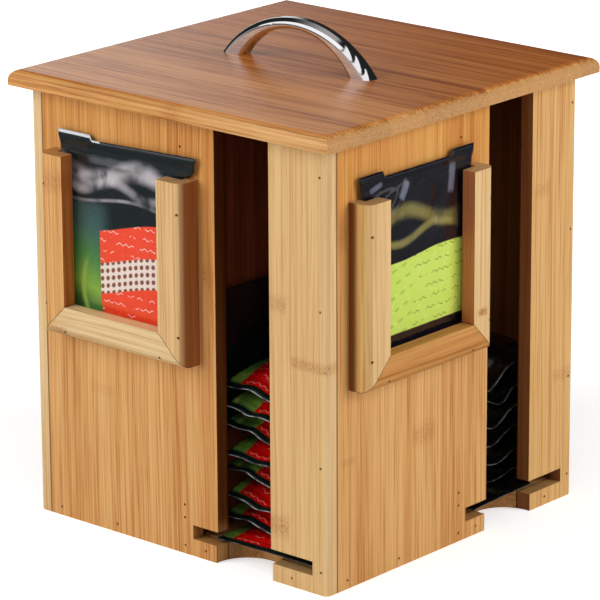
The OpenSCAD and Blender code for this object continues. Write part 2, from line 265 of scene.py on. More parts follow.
def bamboo(name, grain, across, light, mid, dark, seed=0.0, strip=20.0, shift=0.0, spots=(),
           rough=0.42, gloss=0.3, tone=1.0, red=0.35, paints=(), seams=(), end=None):
    """Laminated bamboo in strips of strip mm. grain and across name axes.
    spots are node marks, as (across mm, along mm, half width, half height, strength);
    paints are (conditions, multiplier), a condition being ("n" or "p", axis, sign, lo, hi) on the
    normal or the place in mm; seams are (across factor, along factor, place mm, strength)."""
    s = Shader(name)
    coord = s.add("ShaderNodeTexCoord")
    scale = s.add("ShaderNodeVectorMath", operation="SCALE")
    s.link(coord.outputs["Object"], scale.inputs[0])
    scale.inputs["Scale"].default_value = 1 / MM
    place = scale.outputs[0]
    xyz = s.split(place)
    normal = s.split(coord.outputs["Normal"])
    g, a = AXES.index(grain), AXES.index(across)
    along, flat, deep = xyz[g], xyz[a], xyz[3 - g - a]

    wander = s.noise(s.vec(s.times(along, 0.006), s.times(flat, 0.03), seed), 1, 1)
    wide = s.plus(flat, s.times(s.minus(wander, 0.5), WANDER_MM))
    lane = s.over(s.plus(wide, shift), strip)
    index = s.math("FLOOR", lane)
    pick = s.add("ShaderNodeTexWhiteNoise", noise_dimensions="2D")
    s.link(s.vec(index, seed + 3.7, 0), pick.inputs["Vector"])
    chance = pick.outputs["Value"]
    jump = s.times(chance, STRIP_JUMP_MM)

    def fibre(width, length, detail, roughness):
        run = s.plus(s.times(along, length), jump)
        return s.noise(s.vec(s.times(wide, width), s.times(deep, width), run), 1, detail, roughness)

    fine = fibre(*FINE)
    fac = s.plus(0.5, s.times(s.minus(fine, 0.5), FINE_SHARE * tone))
    fac = s.plus(fac, s.times(s.minus(fibre(*BROAD), 0.5), BROAD_SHARE * tone))
    fac = s.plus(fac, s.times(s.minus(chance, 0.5), STRIP_SHARE * tone))
    fac = s.minus(fac, s.times(s.step(fibre(*HAIR), 0.52, 0.66), HAIR_SHARE * tone))
    colour = s.ramp(fac, [(0.0, dark), (0.42, mid), (1.0, light)])

    # reddish lines, thin and long
    vein = s.times(s.step(fibre(*VEIN), 0.585, 0.68), red)
    colour = s.mix(vein, colour, scaled(dark, 0.96, 0.78, 0.62))

    # glue line between two strips
    across_strip = s.minus(lane, index)
    edge = s.math("MINIMUM", across_strip, s.minus(1.0, across_strip))
    glue = s.step(edge, LINE_FAINT / strip, LINE_FULL / strip)
    colour = s.mix(s.times(glue, GLUE_SHARE), colour, dark)

    colour = node_marks(s, colour, wide, deep, along, spots)
    colour = end_grain(s, colour, place, normal[g], chance, light,
                       end or scaled(mid, 0.80, 0.76, 0.74))
    colour = painted(s, colour, xyz, normal, paints)
    for f_across, f_along, at, strength in seams:
        line = s.plus(s.times(flat, float(f_across)), s.times(along, float(f_along)))
        seam = s.step(s.away(line, at), LINE_FAINT, LINE_FULL)
        colour = s.mix(s.times(seam, strength), colour, SEAM_BROWN)

    s.link(colour, s.bsdf.inputs["Base Color"])
    s.link(s.plus(rough - 0.06, s.times(fine, 0.12)), s.bsdf.inputs["Roughness"])
    s.bsdf.inputs["IOR"].default_value = 1.45
    s.bsdf.inputs["Specular IOR Level"].default_value = gloss
    s.bump(fac, 0.00012, 0.5)
    return s.mat


def dress(node, mat):
    mesh = nodes[node].data
    mesh.materials.clear()
    mesh.materials.append(mat)


# Each wood as its light, middle and dark colour
HONEY = (srgb(228, 184, 122), srgb(210, 156, 94), srgb(182, 116, 56))
SAND = (srgb(230, 197, 142), srgb(218, 179, 122), srgb(200, 150, 92))
GOLD = (srgb(229, 189, 128), srgb(214, 166, 104), srgb(190, 130, 72))
PALE = (srgb(228, 194, 142), srgb(216, 175, 120), srgb(192, 142, 86))
CREAM = (srgb(234, 205, 158), srgb(222, 191, 142), srgb(200, 158, 106))
AMBER = (srgb(212, 156, 92), srgb(190, 129, 65), srgb(150, 88, 36))
RUSSET = (srgb(224, 170, 108), srgb(198, 141, 80), srgb(146, 84, 38))
# painted shade of the box's inside, for the dividers
SHADED_INSIDE_WOOD = (srgb(150, 84, 52), srgb(128, 62, 36), srgb(92, 40, 22))
RAIL_END = srgb(206, 158, 104)
LID_END = srgb(203, 156, 104)

# Multipliers: painted shade inside the box, painted shadow under the lid, painted shade in the
# jambs of the slots and on the sides of the mouldings, painted light on some moulding sides and
# round the outer corners, and a painted falloff of the lid's sheen towards its back
INSIDE_SHADE = (0.28, 0.20, 0.13)
LID_SHADE_FRONT = (0.94, 0.82, 0.62)
LID_SHADE_RIGHT = (1.0, 0.86, 0.60)
WIDE_JAMB_SHADE = (0.22, 0.14, 0.07)
WIDE_JAMB_TOP_SHADE = (0.60, 0.45, 0.38)
NARROW_JAMB_SHADE = (0.44, 0.27, 0.21)
CORNER_LIGHT = (1.03, 1.12, 1.30)
CORNER_EDGE_LIGHT = (1.1, 1.08, 1.05)
STILE_DEEP_SHADE = (0.26, 0.13, 0.085)
STILE_SHADE = {("front", "left"): (0.78, 0.48, 0.28), ("front", "right"): (0.54, 0.29, 0.18),
               ("right", "left"): (1.10, 1.04, 0.80), ("right", "right"): (0.79, 0.42, 0.33)}
LID_TOP = (1.06, 0.87, 0.71)
LID_SHEEN_FALLOFF = (0.80, 0.63, 0.48)
LID_FRONT_RIM = (1.1, 1.22, 1.45)

# Where those multipliers begin and are complete, in mm
WALL_INSIDE = (79.85, 79.35)
LID_SHADE_Z = (105, 196)
WIDE_JAMB_Z = (9, 22)
WIDE_JAMB_TOP_Z = (70, 170)
STILE_DEEP_OUT = (91.8, 88.0)

# side: local x runs along this axis in this direction, and the side faces along the other
SIDES = {
    "front": ("X", 1, "Y", -1),
    "right": ("Y", 1, "X", 1),
    "back": ("X", -1, "Y", 1),
    "left": ("Y", -1, "X", -1),
}
POCKET_X, POCKET_W, POCKET_Z = -71.4, 85.0, 90.0
CORNER_SEAM = -79.0
MITRE_STRENGTH = 0.65

# Node marks, as (across mm, along mm, half width, half height, strength)
WIDE_SPOTS = {
    "front": ((18.4, 131, 3.4, 8, 0.8), (-45, 66, 7, 4, 0.3)),
    "right": ((-21, 57.5, 8, 8, 0.62), (-71.5, 57.8, 4, 3, 0.45), (-75.8, 160, 3.2, 12, 0.7)),
    "back": ((40, 120, 9, 6, 0.6), (-8, 52, 8, 5, 0.5)),
    "left": ((-30, 70, 8, 6, 0.55), (52, 150, 9, 6, 0.6)),
}
NARROW_SPOTS = {
    "front": ((59, 126.5, 5.2, 6, 0.75), (59.2, 26.3, 5.5, 8, 0.8), (76.8, 102.2, 10, 4, 0.85)),
    "right": ((62, 150, 6, 5, 0.5), (78, 60, 7, 5, 0.5)),
    "back": ((-64, 90, 9, 5, 0.6),),
    "left": ((-70, 130, 9, 5, 0.6),),
}
STILE_SPOTS = {("front", "left"): ((-63, 161, 8, 8, 0.75),),
               ("right", "right"): ((5.1, 108.8, 3, 2.5, 1.6),)}
RAIL_SPOTS = {"front": ((92, -62, 3, 9, 0.9),)}
BASE_SPOTS = ((-77.6, 24.2, 4, 4, 1.3),)
LID_SPOTS = ((40, -30, 9, 6, 0.4), (-50, 20, 10, 5, 0.35), (-92, 5, 3, 8, 0.8))


def facing(axis, sign, lo=0.5, hi=0.9):
    """Condition of a paint: the face looks along this axis, either way where sign is 0."""
    return ("n", axis, sign, lo, hi)


def placed(axis, sign, ends):
    """Condition of a paint: from the first to the second of these places along this axis."""
    return ("p", axis, sign, *ends)


def dress_panels(k, name):
    across, way, out_axis, out = SIDES[name]
    # painted shade on the inner faces of the walls
    inside = ((placed(out_axis, out, WALL_INSIDE),), INSIDE_SHADE)
    jamb = facing(across, way)
    dress("wide_panel_" + name, bamboo(
        "bamboo_wide_" + name, "Z", across, *HONEY, seed=1.3 + 7 * k, strip=21, shift=4 + 5 * k,
        spots=WIDE_SPOTS[name], seams=((way, 0, CORNER_SEAM, 0.35),),
        paints=(inside,
                # painted shadow of the lid over the top of the wall
                ((placed("Z", 1, LID_SHADE_Z),), LID_SHADE_RIGHT if k % 2 else LID_SHADE_FRONT),
                # painted shade in the jamb of the slot, deeper higher up
                ((jamb, placed("Z", 1, WIDE_JAMB_Z)), WIDE_JAMB_SHADE),
                ((jamb, placed("Z", 1, WIDE_JAMB_TOP_Z)), WIDE_JAMB_TOP_SHADE))))
    wood, tone = (GOLD, 1.0) if name == "right" else (SAND, 0.78)
    dress("narrow_panel_" + name, bamboo(
        "bamboo_narrow_" + name, "Z", across, *wood, seed=31.3 + 5 * k, strip=19.5,
        shift=11.5 - 3 * k, spots=NARROW_SPOTS[name], tone=tone,
        paints=(inside,
                # painted shade in the jamb of the slot
                ((facing(across, -way),), NARROW_JAMB_SHADE),
                # painted light round the rounded outer corner
                ((facing(across, way, 0.1, 0.5),), CORNER_LIGHT),
                ((facing(across, way, 0.1, 0.4), facing(across, way, 0.95, 0.7)), CORNER_EDGE_LIGHT))))


def dress_pocket(k, name):
    across, way, out_axis, out = SIDES[name]
    left_at, right_at = POCKET_X - POCKET_Z, POCKET_X + POCKET_W + POCKET_Z
    for hand, turned, at in (("left", -1, left_at), ("right", 1, right_at)):
        piece = f"pocket_{hand}_stile_"
        # painted shade on the sides of the stiles; on the left stiles of the right and left walls,
        # painted light
        paints = [((facing(across, 0, 0.5, 0.97),),
                   STILE_SHADE[("right" if k % 2 else "front", hand)])]
        if (name, hand) == ("right", "left"):
            # painted shade where that side meets the wall
            deep = placed(out_axis, out, STILE_DEEP_OUT)
            paints.append(((facing(across, -way, 0.4, 0.9), deep), STILE_DEEP_SHADE))
        wood = HONEY if (name, hand) == ("front", "left") else PALE
        dress(piece + name, bamboo(
            "bamboo_" + piece + name, "Z", across, *wood, seed=51.7 + 3 * k + len(piece), strip=30,
            shift=9 * k, spots=STILE_SPOTS.get((name, hand), ()), rough=0.4, red=0.2,
            paints=paints, seams=((way, turned, at, MITRE_STRENGTH),)))
    dress("pocket_rail_" + name, bamboo(
        "bamboo_rail_" + name, across, "Z", *(AMBER if k % 2 else CREAM), seed=71.1 + 3 * k,
        strip=30, shift=3 * k, rough=0.4, red=0.3, spots=RAIL_SPOTS.get(name, ()), end=RAIL_END,
        seams=((-1, way, left_at, MITRE_STRENGTH), (1, way, right_at, MITRE_STRENGTH))))


for k, name in enumerate(SIDES):
    across = SIDES[name][0]
    dress_panels(k, name)
    dress_pocket(k, name)
    # the dividers' darker wood is painted shade of the inside
    dress("divider_" + name, bamboo(
        "bamboo_divider_" + name, "Z", "Y" if across == "X" else "X", *SHADED_INSIDE_WOOD, seed=91.3 + 3 * k,
        strip=20, shift=2 * k, rough=0.55))
    dress("lid_block_" + name, bamboo(
        "bamboo_block_" + name, "Z", across, *HONEY, seed=101.3 + 3 * k, strip=20, rough=0.5))

dress("base_plate", bamboo("bamboo_base", "X", "Y", *HONEY, seed=13.7, strip=21, shift=6, rough=0.5,
                           spots=BASE_SPOTS))
upwards = facing("Z", 1, 0.75, 0.97)
dress("lid_board", bamboo(
    "bamboo_lid", "X", "Y", *RUSSET, seed=23.9, strip=22, shift=8, rough=0.15, gloss=0.22, tone=1.1,
    red=0.32, spots=LID_SPOTS, end=LID_END,
    paints=(((upwards,), LID_TOP),
            # painted falloff of the sheen: the lid's top darker towards the back
            ((upwards, placed("Y", 1, (-60, 60))), LID_SHEEN_FALLOFF),
            ((facing("Y", -1, 0.3, 0.7), placed("X", 1, (0, 60))), LID_FRONT_RIM))))


def metal(name, colour, rough, scratch, stretch=(1, 1, 1)):
    """Plain metal; scratch is how much its roughness varies, and stretch draws its grain out."""
    s = Shader(name)
    coord = s.add("ShaderNodeTexCoord")
    mapping = s.add("ShaderNodeMapping")
    mapping.inputs["Scale"].default_value = tuple(v / MM for v in stretch)
    s.link(coord.outputs["Object"], mapping.inputs["Vector"])
    grain = s.noise(mapping.outputs[0], 1.0, 4, 0.6)
    s.link(s.mix(s.times(grain, 0.25), colour, scaled(colour, 0.8, 0.8, 0.8)),
           s.bsdf.inputs["Base Color"])
    s.bsdf.inputs["Metallic"].default_value = 1
    s.link(s.plus(rough, s.times(grain, scratch)), s.bsdf.inputs["Roughness"])
    s.bump(grain, 0.00002, 0.15)
    return s.mat


dress("handle", metal("bow_chrome", srgb(226, 224, 226), 0.04, 0.02, (0.05, 0.6, 0.05)))
dress("handle_screws", metal("screw_zinc", srgb(190, 190, 195), 0.28, 0.1))
for node in ("body_brads", "pocket_brads", "lid_block_brads"):
    dress(node, metal("steel_" + node, srgb(170, 122, 78), 0.55, 0.2))


# Sachets. Their print is laid out in the UV map, in mm from the middle of the sachet
FOIL_ROUGH = 0.2
TAB_TOP = (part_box("display_sachet_front")[1].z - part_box("display_sachet_front")[0].z) / MM / 2
SILVER = srgb(206, 208, 212)
SMOKE = srgb(192, 186, 190)
LEAF_GREEN = srgb(150, 186, 84)
MARK_PINK = srgb(250, 214, 200)
BEAD_PALE, BEAD_BROWN = srgb(232, 216, 204), srgb(138, 84, 62)
OLIVE = srgb(166, 154, 84)
# colour of the painted highlights on the foil
PAINTED_SHINE = srgb(98, 102, 118)
LIME_PALE, LIME_OVAL, LIME_MARK = srgb(206, 226, 108), srgb(132, 166, 52), srgb(84, 104, 34)
WASH = ((0.0, srgb(46, 58, 66)), (0.35, srgb(58, 92, 86)), (0.62, srgb(72, 128, 64)),
        (0.86, srgb(128, 168, 62)), (1.0, srgb(70, 120, 60)))
# Ribbons, as (height, rise, period, half width, phase, strength)
SMOKE_RIBBONS = ((28, 3.6, 9.0, 6.0, 0.4, 0.85), (22, 3.0, 6.5, 3.6, 2.2, 0.7),
                 (15.5, 2.0, 11.0, 1.2, 1.0, 0.6))
OLIVE_RIBBONS = ((19, 4.5, 10.0, 5.0, 2.6, 0.55), (12.0, 2.6, 7.5, 2.6, 0.2, 0.6))
# Painted highlights on the foil, pale patches where it would shine, as (x, y, degrees, half length,
# half width)
PAINTED_HIGHLIGHTS = ((-9.5, 32.5, 52, 5.5, 2.6), (22.5, 31.5, 80, 7.5, 2.8), (-27, 37, 15, 5, 1.6))
# Edges of the prints in mm, the softness of an edge to each side, and the red field's parts
SOFT = 0.3
FIELD_LEFT = -12.9
DISPLAY_FOOT, STACK_FOOT, LIME_FOOT = -60.0, -31.5, -30.2
BAND_DOWN, BAND_HALF = 22.0, 7.2
BEAD_PITCH = 3.4
TAB_RIGHT, TAB_DEPTH, TAB_SOFT = -12.6, 1.4, 0.2


def foil(name, ground, deep, accent, pattern):
    """Printed foil under a clear coat."""
    s = Shader(name)
    uv = s.add("ShaderNodeUVMap", uv_map="print").outputs[0]
    x, y, _ = s.split(uv)
    colour = s.mix(s.noise(uv, 0.05, 2, 0.5), ground, deep)
    colour = pattern(s, colour, x, y, uv, accent)
    crease = s.noise(uv, 0.16, 4, 0.55, 0.6)
    s.link(colour, s.bsdf.inputs["Base Color"])
    s.link(s.plus(FOIL_ROUGH, s.times(crease, 0.12)), s.bsdf.inputs["Roughness"])
    s.bsdf.inputs["Specular IOR Level"].default_value = 0.5
    s.bsdf.inputs["Coat Weight"].default_value = 0.6
    s.bsdf.inputs["Coat Roughness"].default_value = 0.05
    s.bump(crease, 0.0006, 0.4)
    return s.mat


def ribbon(s, x, y, base, rise, period, width, phase):
    """A soft wavy band round the line y = base + rise sin(x / period + phase)."""
    line = s.plus(base, s.times(s.sine(s.plus(s.over(x, period), phase)), rise))
    return s.step(s.away(y, line), width, width * 0.15)


def scrawl(s, x, y, uv, pitch, width):
    """Thin wavy broken lines, one above the other."""
    wave = s.times(s.sine(s.times(x, 1.7)), 0.45)
    row = s.fraction(s.over(s.plus(y, wave), pitch))
    line = s.step(s.away(row, 0.5), width / pitch, 0.3 * width / pitch)
    return s.times(line, s.step(s.noise(uv, 0.22, 1, 0.5), 0.46, 0.54))


def beads(s, x, under):
    """A pale field with small brown discs in rows."""
    row = s.power(s.minus(s.fraction(s.over(under, BEAD_PITCH)), 0.5), 2.0)
    column = s.power(s.minus(s.fraction(s.over(x, BEAD_PITCH)), 0.5), 2.0)
    return s.mix(s.step(s.plus(row, column), 0.13, 0.08), BEAD_PALE, BEAD_BROWN)


def berry_ground(s, colour, x, y, uv, accent, foot, marks):
    """Pale ribbons above, a wash from slate to green at the left, and a red field with marks.
    Gives the colour, how far a point is under the field's upper edge, and the field itself."""
    haze = s.noise(uv, 0.075, 2, 0.5, 0.5)
    for *wave, level in SMOKE_RIBBONS:
        band = s.times(ribbon(s, x, y, *wave), level)
        colour = s.mix(s.times(band, s.step(haze, 0.26, 0.62)), colour, SMOKE)
    down = s.over(s.minus(16.0, s.plus(y, s.times(x, 0.25))), 54.0)
    low = s.times(s.step(y, 17, 11), s.step(y, foot - 1, foot + 1.5))
    colour = s.mix(s.times(s.step(x, -4, -15), low), colour, s.ramp(down, WASH))
    streak = ribbon(s, y, x, -21, 3.0, 9.0, 2.2, 1.3)
    colour = s.mix(s.times(s.times(streak, s.step(y, -8, -26)), low), colour, LEAF_GREEN)
    curve = s.plus(s.times(s.sine(s.times(x, 0.055)), 5.0), 5.0)
    under = s.minus(curve, y)
    field = s.times(s.step(under, 0, 2 * SOFT), s.step(x, FIELD_LEFT - SOFT, FIELD_LEFT + SOFT))
    field = s.times(field, s.step(y, foot - SOFT, foot + SOFT))
    colour = s.mix(field, colour, accent)
    lines = s.times(scrawl(s, x, y, uv, 4.6, 0.34), s.times(field, marks))
    return s.mix(lines, colour, MARK_PINK), under, field


def berry_print(s, colour, x, y, uv, accent):
    """The display sachet: the berry ground with a beaded pale band and a silver tab."""
    colour, under, field = berry_ground(s, colour, x, y, uv, accent, DISPLAY_FOOT, 0.8)
    band = s.step(s.away(under, BAND_DOWN), BAND_HALF, BAND_HALF - SOFT)
    colour = s.mix(s.times(band, field), colour, beads(s, x, under))
    tab_foot = TAB_TOP - TAB_DEPTH
    tab = s.times(s.step(y, tab_foot - TAB_SOFT, tab_foot + TAB_SOFT),
                  s.step(x, TAB_RIGHT + TAB_SOFT, TAB_RIGHT - TAB_SOFT))
    return s.mix(tab, colour, SILVER)


def stack_print(s, colour, x, y, uv, accent):
    """The stacked sachets: the berry ground with fainter marks."""
    return berry_ground(s, colour, x, y, uv, accent, STACK_FOOT, 0.3)[0]


def leaf_print(s, colour, x, y, uv, accent):
    """Olive ribbons and painted highlights above, and a lime field with small ovals and marks."""
    haze = s.noise(uv, 0.08, 2, 0.5, 0.4)
    for *wave, level in OLIVE_RIBBONS:
        band = s.times(ribbon(s, x, y, *wave), level)
        band = s.times(band, s.step(haze, 0.1, 0.55))
        colour = s.mix(s.times(band, s.step(s.math("ABSOLUTE", x), 30, 18)), colour, OLIVE)
    # painted highlights
    for at_x, at_y, degrees, length, width in PAINTED_HIGHLIGHTS:
        ca, sa = math.cos(math.radians(degrees)), math.sin(math.radians(degrees))
        dx, dy = s.minus(x, at_x), s.minus(y, at_y)
        along = s.plus(s.times(dx, ca), s.times(dy, sa))
        aside = s.minus(s.times(dy, ca), s.times(dx, sa))
        highlight_patch = s.times(s.step(s.math("ABSOLUTE", along), length, length * 0.6),
                       s.step(s.math("ABSOLUTE", aside), width, width * 0.4))
        colour = s.mix(s.times(highlight_patch, s.step(haze, 0.2, 0.5)), colour, PAINTED_SHINE)
    curve = s.plus(s.times(s.sine(s.times(x, 0.09)), 1.2), 3.0)
    field = s.times(s.step(s.minus(curve, y), 0, 2 * SOFT),
                    s.step(y, LIME_FOOT - SOFT, LIME_FOOT + SOFT))
    shade = s.mix(s.noise(uv, 0.08, 2, 0.5), accent, LIME_PALE)
    column = s.minus(s.fraction(s.over(s.plus(x, s.times(y, 0.5)), 7.0)), 0.5)
    row = s.minus(s.fraction(s.over(s.minus(y, s.times(x, 0.3)), 6.0)), 0.5)
    oval = s.plus(s.power(column, 2.0), s.power(s.times(row, 2.2), 2.0))
    ovals = s.times(s.step(oval, 0.09, 0.05), s.times(s.step(x, -3, -7), 0.5))
    shade = s.mix(ovals, shade, LIME_OVAL)
    lines = s.times(scrawl(s, x, y, uv, 5.2, 0.36), s.step(x, -5, -3))
    shade = s.mix(s.times(lines, 0.75), shade, LIME_MARK)
    return s.mix(field, colour, shade)


def plain_print(s, colour, x, y, uv, accent):
    """A slow change between two colours."""
    return s.mix(s.step(s.noise(uv, 0.07, 2, 0.5), 0.5, 0.75), colour, accent)


berry = foil("foil_berry", srgb(22, 34, 38), srgb(12, 18, 21), srgb(238, 72, 42), berry_print)
leaf = foil("foil_leaf", srgb(20, 20, 32), srgb(10, 10, 16), srgb(196, 222, 84), leaf_print)
berry_stack = foil("foil_berry_stack", srgb(18, 34, 32), srgb(8, 14, 14), srgb(214, 14, 8),
                   stack_print)
leaf_stack = foil("foil_leaf_stack", srgb(16, 15, 18), srgb(7, 7, 9), srgb(52, 48, 16), plain_print)
berry_back = foil("foil_berry_back", srgb(14, 28, 26), srgb(6, 10, 10), srgb(24, 46, 30),
                  plain_print)
leaf_back = foil("foil_leaf_back", srgb(12, 11, 14), srgb(6, 6, 8), srgb(18, 17, 14), plain_print)


def foil_cut(name, level):
    """The cut edge of the foil, where its silver inside shows; a high level adds a painted
    highlight along it.
    """
    s = Shader(name)
    coord = s.add("ShaderNodeTexCoord")
    fleck = s.noise(coord.outputs["Object"], 160, 3, 0.6)
    dim = (level * 0.12, level * 0.13, level * 0.14, 1)
    s.link(s.mix(s.step(fleck, 0.42, 0.62), dim, (level, level, level, 1)),
           s.bsdf.inputs["Base Color"])
    s.bsdf.inputs["Roughness"].default_value = 0.35
    s.bump(fleck, 0.0001, 0.2)
    return s.mat


# the brighter edge is silver foil with a painted highlight along the stacked sachets' edges
cut_painted_highlight = foil_cut("foil_cut_bright", 0.34)
cut_dull = foil_cut("foil_cut_dull", 0.12)

# Relief of a packet: the seal down each side, how square the filled part is, and the scales per
# mm of its ripples, pleats, crimp and slow sway
SEAM_MM = 3.0
SQUARE_X, SQUARE_Y = 2.2, 2.6
RIPPLE_SCALE, RIPPLE_ON_SEAL = 0.07, 0.25
PLEAT_SCALE, PLEAT_WANDER, PLEAT_REACH, PLEAT_SHARE = 0.62, 0.05, 6, 0.5
CRIMP_SCALE, CRIMP_WAVE_MM, CRIMP_START = 4.6, 0.22, 0.6
SWAY_SCALE, SWAY_SHARE = 0.03, 1.2
LAYER_SEED = 5


def crown(x, y, w, seal_y):
    """How far a filled packet swells at a point, from 0 on its seals to 1 in the middle."""
    in_x = max(0.0, 1 - (abs(x) / (w / 2 - SEAM_MM)) ** SQUARE_X)
    in_y = max(0.0, 1 - (abs(y) / seal_y) ** SQUARE_Y)
    return (in_x * in_y) ** 0.5


def wrinkles(x, y, layer, body, seal_y, seed):
    """Ripples over the filled part, and pleats that run into it from the two seals."""
    at = Vector((x * RIPPLE_SCALE, y * RIPPLE_SCALE, seed + LAYER_SEED * layer))
    ripple = noise.fractal(at, 0.9, 2.1, 3) * (RIPPLE_ON_SEAL + body)
    turn_by = 2.4 * noise.noise(Vector((x * PLEAT_WANDER, seed, 1)))
    pleat = math.sin(x * PLEAT_SCALE + turn_by) * PLEAT_SHARE
    pleat *= math.exp(-((abs(y) - seal_y) / PLEAT_REACH) ** 2)
    return (ripple + pleat) * (0.2 + 0.8 * min(1, body * 2))


def bend(x, y, folds):
    """How far long soft folds lift a point.
    Each is (x, y, degrees, half length, half width, height)."""
    lift = 0.0
    for fx, fy, degrees, length, width, height in folds:
        ca, sa = math.cos(math.radians(degrees)), math.sin(math.radians(degrees))
        along = (x - fx) * ca + (y - fy) * sa
        aside = (y - fy) * ca - (x - fx) * sa
        lift += height * math.exp(-(along / length) ** 2 - (aside / width) ** 2)
    return lift


def packet(name, w, l, puff, place, front, behind, seed, wrinkle=0.3, crimp=8.0, edge=None,
           nx=64, ny=76, sag=(0.0, 0.0), offset=0.0, folds=(), cut=None, foil_t=0.32):
    """A sealed foil packet in its own plane: x across, y along, z out of the printed side, in mm.
    place turns that plane into the object's frame; crimp is the width of the two seals; edge
    moves points within the plane; offset moves the print across; sag lowers the two ends and
    the two sides."""
    seal_y = l / 2 - crimp
    verts, uvs = [], []
    for layer in (1, -1):
        for j in range(ny + 1):
            for i in range(nx + 1):
                u, v = i / nx * 2 - 1, j / ny * 2 - 1
                x, y = u * w / 2, v * l / 2
                body = crown(x, y, w, seal_y)
                half = foil_t / 2 + (puff - foil_t) / 2 * body
                half += wrinkle * wrinkles(x, y, layer, body, seal_y, seed)
                z = layer * max(half, foil_t / 2)
                if abs(y) > seal_y + CRIMP_START:
                    z += CRIMP_WAVE_MM * math.sin(y * CRIMP_SCALE)
                at = Vector((x * SWAY_SCALE, y * SWAY_SCALE, seed))
                z += noise.fractal(at, 1.0, 2.0, 2) * SWAY_SHARE * (1 - body) * wrinkle
                z -= sag[0] * abs(v) ** 3 + sag[1] * abs(u) ** 3
                z += bend(x, y, folds)
                px, py = edge(x, y, v) if edge else (x, y)
                verts.append(place @ Vector((px, py, z)))
                uvs.append((x + offset, y))
    return closed_sheet(name, nx, ny, verts, uvs, (front, behind, cut or behind))


def closed_sheet(name, nx, ny, verts, uvs, mats):
    """Two layers of nx by ny cells joined round their edges, with a material for each layer and
    one for the edge."""
    layer_size = (nx + 1) * (ny + 1)

    def at(i, j, layer):
        return (0 if layer == 1 else layer_size) + j * (nx + 1) + i

    faces = []
    for j in range(ny):
        for i in range(nx):
            faces.append((at(i, j, 1), at(i + 1, j, 1), at(i + 1, j + 1, 1), at(i, j + 1, 1)))
            faces.append((at(i, j, -1), at(i, j + 1, -1), at(i + 1, j + 1, -1), at(i + 1, j, -1)))
    rim_from = len(faces)
    ring = [(i, 0) for i in range(nx)] + [(nx, j) for j in range(ny)] \
        + [(i, ny) for i in range(nx, 0, -1)] + [(0, j) for j in range(ny, 0, -1)]
    for (i0, j0), (i1, j1) in zip(ring, ring[1:] + ring[:1]):
        faces.append((at(i0, j0, 1), at(i0, j0, -1), at(i1, j1, -1), at(i1, j1, 1)))
    mesh = bpy.data.meshes.new(name)
    mesh.from_pydata([v * MM for v in verts], [], faces)
    layer_uv = mesh.uv_layers.new(name="print")
    for loop in mesh.loops:
        layer_uv.data[loop.index].uv = uvs[loop.vertex_index]
    for mat in mats:
        mesh.materials.append(mat)
    for n, poly in enumerate(mesh.polygons):
        poly.use_smooth = n < rim_from
        poly.material_index = 2 if n >= rim_from else n % 2
    obj = bpy.data.objects.new(name, mesh)
    scene.collection.objects.link(obj)
    return obj


def turn(side_no):
    return Matrix.Rotation(math.radians(90 * side_no), 4, "Z")


def tilt(degrees, axis):
    return Matrix.Rotation(math.radians(degrees), 4, axis)


def box_mm(node):
    lo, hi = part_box(node)
    return lo / MM, hi / MM


# Display sachets stand in their rebates, print outwards. v runs from -1 at the lower edge to 1
# at the upper one: over the stiles the sachet is free, it spreads, and its edge has two tabs
FREE_V, SPREAD_V, TAB_V = 0.78, 0.8, 0.9
FREE_RUN = 0.04
SPREAD = 0.05
FLAT_PUFF = 2.6
SHOWN_ROOM, SHOWN_SEED = 0.2, 3.1


def free_top(w, left_tab, right_tab, drop, wide, rise):
    """The tabs' widths, how far the edge between them lies lower, how far the sachet spreads
    further at the right, and how far its right end stands higher, in mm."""

    def edge(x, y, v):
        if v > SPREAD_V:
            x = x * (1 + SPREAD * (v - SPREAD_V) / (1 - SPREAD_V))
        if v > TAB_V and -w / 2 + left_tab < x < w / 2 - right_tab:
            y -= drop * (v - TAB_V) / (1 - TAB_V)
        if v > FREE_V:
            y += rise * min(1.0, max(0.0, x / w + 0.2)) * (v - FREE_V) / (1 - FREE_V)
            x += wide * min(1.0, (v - FREE_V) / FREE_RUN) * max(0.0, x / w * 2) ** 2
        return x, y
    return edge


# (side, print, back, slot, values for free_top, folds)
SHOWN = (
    ("front", berry, berry_back, "foil_green", (18, -7, 2.2, 5.0, 3.0),
     ((-4, 31, 3, 22, 2.2, 0.7), (14, 27, 8, 9, 2.4, 0.5), (2, -30, -4, 24, 3, 0.4))),
    ("right", leaf, leaf_back, "foil_black", (15, 13, 2.6, 0.0, 0.0),
     ((-15, 26, 48, 9, 2.4, 1.3), (12, 22, 82, 9, 2.6, -1.4), (-26, 30, 15, 7, 2.2, 0.9),
      (0, 8, 8, 22, 4, 0.5))),
)
for side_no, (name, front, behind, slot, tabs, folds) in enumerate(SHOWN):
    lo, hi = box_mm("display_sachet_" + name)
    w = max(hi.x - lo.x, hi.y - lo.y)
    place = Matrix.Translation((lo + hi) / 2) @ turn(side_no) @ tilt(90, "X")
    obj = packet("sachet_on_show_" + name, w - SHOWN_ROOM, hi.z - lo.z, FLAT_PUFF, place,
                 front, behind, SHOWN_SEED + side_no, wrinkle=0.22, crimp=9,
                 edge=free_top(w, *tabs), folds=folds, cut=cut_dull)
    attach(obj, "display_sachet_" + name)
    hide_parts("display_sachet_" + name)

# Ready sachets lie on the base with one end in the gap. The right one's outer corner is tucked in
TUCK_X, TUCK_RUN, TUCK_MM, TUCK_V = 13, 8, 12, -0.4
READY_ROOM_X, READY_ROOM_Y, READY_ROOM_Z = 8, 1.5, 1.2
READY_SHIFT, READY_TURN = (3.4, 0, 0.3), 1.5
READY_SAG, READY_PRINT, READY_SEED = 0.6, 9, 9.3


def tucked(x, y, v):
    t = min(1.0, max(0.0, (x - TUCK_X) / TUCK_RUN))
    return x, y + TUCK_MM * t * t * (3 - 2 * t) * max(0.0, (TUCK_V - v) / (1 + TUCK_V))


